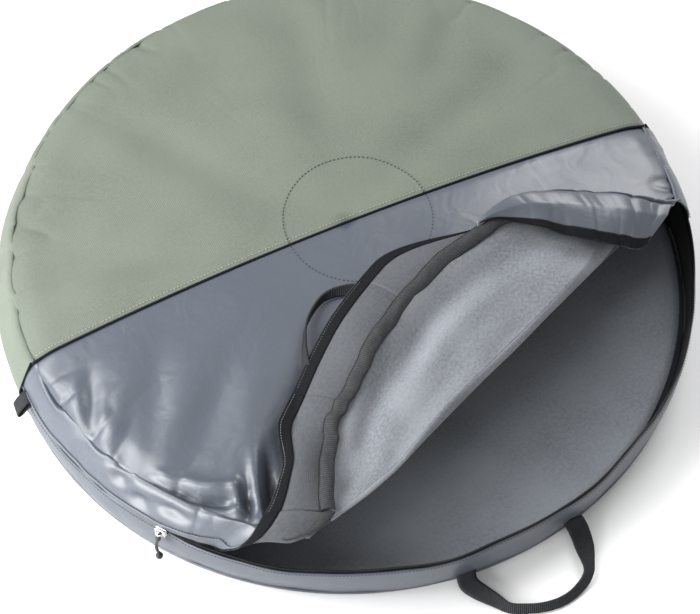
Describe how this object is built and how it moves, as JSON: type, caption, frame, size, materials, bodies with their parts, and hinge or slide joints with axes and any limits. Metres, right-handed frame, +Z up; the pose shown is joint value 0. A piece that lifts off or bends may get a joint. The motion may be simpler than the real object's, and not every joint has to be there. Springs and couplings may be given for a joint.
{
  "type": "bike wheel bag",
  "caption": "Round padded bag for a bicycle wheel, with a two-part lid, a zip half way round, a folded-back lid flap and webbing handles.",
  "frame": {"origin": "centre of the underside, on the floor", "axes": "+Z up through the lid; +X along the seam between the two halves of the lid; -Y to the side that opens"},
  "size_m": [0.8156, 0.8792, 0.1846],
  "materials": {
    "sage_cloth": "matte woven polyester",
    "slate_cloth": "coated, semi-gloss",
    "grey_lining": "light grey woven lining",
    "black_lining": "black woven lining",
    "webbing": "ribbed webbing",
    "foam": "closed-cell foam",
    "zip_tape": "woven zip tape",
    "zip_coil": "nylon coil",
    "slider_steel": "plated, bright"
  },
  "bodies": {
    "shell": {"base_panel": "slate_cloth", "floor_pad": "foam", "floor_lining": "black_lining", "hub_guard_floor": "webbing", "base_piping": "webbing", "floor_binding": "webbing", "front_wall": "slate_cloth", "front_wall_lining": "black_lining", "zip_tape_lower": "zip_tape", "zip_coil_lower": "zip_coil", "rear_wall": "sage_cloth", "rear_wall_lining": "black_lining", "lid_rear": "sage_cloth", "lid_rear_lining": "grey_lining", "hub_guard_rear": "webbing", "rear_rim_binding": "webbing", "centre_piping": "webbing", "tab_left": "webbing", "tab_right": "webbing"},
    "lid": {"lid_front": "slate_cloth", "lid_front_lining": "grey_lining", "hub_guard_front": "webbing", "lid_wall_left": "slate_cloth", "lid_tape_left": "zip_tape", "lid_coil_left": "zip_coil", "lid_wall_right": "slate_cloth", "lid_tape_right": "zip_tape", "lid_coil_right": "zip_coil", "lid_fold": "grey_lining"},
    "flap": {"flap_panel": "slate_cloth", "flap_lining": "grey_lining", "flap_binding": "webbing"},
    "run_1": {"flap_wall_1": "slate_cloth", "flap_tape_1": "zip_tape", "flap_coil_1": "zip_coil"},
    "run_2": {"flap_wall_2": "slate_cloth", "flap_tape_2": "zip_tape", "flap_coil_2": "zip_coil"},
    "run_3": {"flap_wall_3": "slate_cloth", "flap_tape_3": "zip_tape", "flap_coil_3": "zip_coil"},
    "run_4": {"flap_wall_4": "slate_cloth", "flap_tape_4": "zip_tape", "flap_coil_4": "zip_coil"},
    "upper_handle": {"handle_upper": "webbing"},
    "lower_handle": {"handle_lower": "webbing"},
    "slider": {"slider": "slider_steel"},
    "pull": {"pull_cord": "webbing", "pull_end": "zip_coil"}
  },
  "joints": [
    {"name": "lid_hinge", "type": "hinge", "parent": "shell", "child": "lid", "pos_m": [0, 0, 0.15], "axis": [-1, 0, 0], "range_deg": [0, 110]},
    {"name": "flap_fold", "type": "hinge", "parent": "lid", "child": "flap", "pos_m": [0.10435, -0.23218, 0.1428], "axis": [-0.9121, -0.4099, 0], "range_deg": [-180, 0], "deforming": ["lid_fold"]},
    {"name": "run_1_turn", "type": "hinge", "parent": "flap", "child": "run_1", "pos_m": [-0.13032, -0.28939, 0.17059], "axis": [0.4586, 0.8886, 0], "range_deg": [0, 79]},
    {"name": "run_2_turn", "type": "hinge", "parent": "flap", "child": "run_2", "pos_m": [-0.0451, -0.17952, 0.17059], "axis": [0.7466, 0.6652, 0], "range_deg": [0, 79]},
    {"name": "run_3_turn", "type": "hinge", "parent": "flap", "child": "run_3", "pos_m": [0.07384, -0.10749, 0.17059], "axis": [0.9354, 0.3535, 0], "range_deg": [0, 79]},
    {"name": "run_4_turn", "type": "hinge", "parent": "flap", "child": "run_4", "pos_m": [0.25559, -0.09831, 0.17369], "axis": [0.9919, -0.1271, 0], "range_deg": [-115, 0]},
    {"name": "upper_handle_swing", "type": "hinge", "parent": "run_2", "child": "upper_handle", "pos_m": [-0.0451, -0.17952, 0.17059], "axis": [0.7466, 0.6652, 0], "range_deg": [-30, 0]},
    {"name": "lower_handle_swing", "type": "hinge", "parent": "shell", "child": "lower_handle", "pos_m": [0.03341, -0.39788, 0.009], "axis": [-0.9965, -0.0837, 0], "range_deg": [0, 80]},
    {"name": "slider_travel", "type": "hinge", "parent": "shell", "child": "slider", "pos_m": [0, 0, 0.064], "axis": [0, 0, 1], "range_deg": [-30, 140]},
    {"name": "pull_swing", "type": "hinge", "parent": "slider", "child": "pull", "pos_m": [-0.33774, -0.23649, 0.064], "axis": [-0.5736, 0.8192, 0], "range_deg": [0, 100]}
  ],
  "couplings": [
    {"joint": "run_1_turn", "follows": "flap_fold", "ratio": -0.43889},
    {"joint": "run_2_turn", "follows": "flap_fold", "ratio": -0.43889},
    {"joint": "run_3_turn", "follows": "flap_fold", "ratio": -0.43889},
    {"joint": "run_4_turn", "follows": "flap_fold", "ratio": 0.63889},
    {"joint": "upper_handle_swing", "follows": "flap_fold", "ratio": 0.16667}
  ]
}
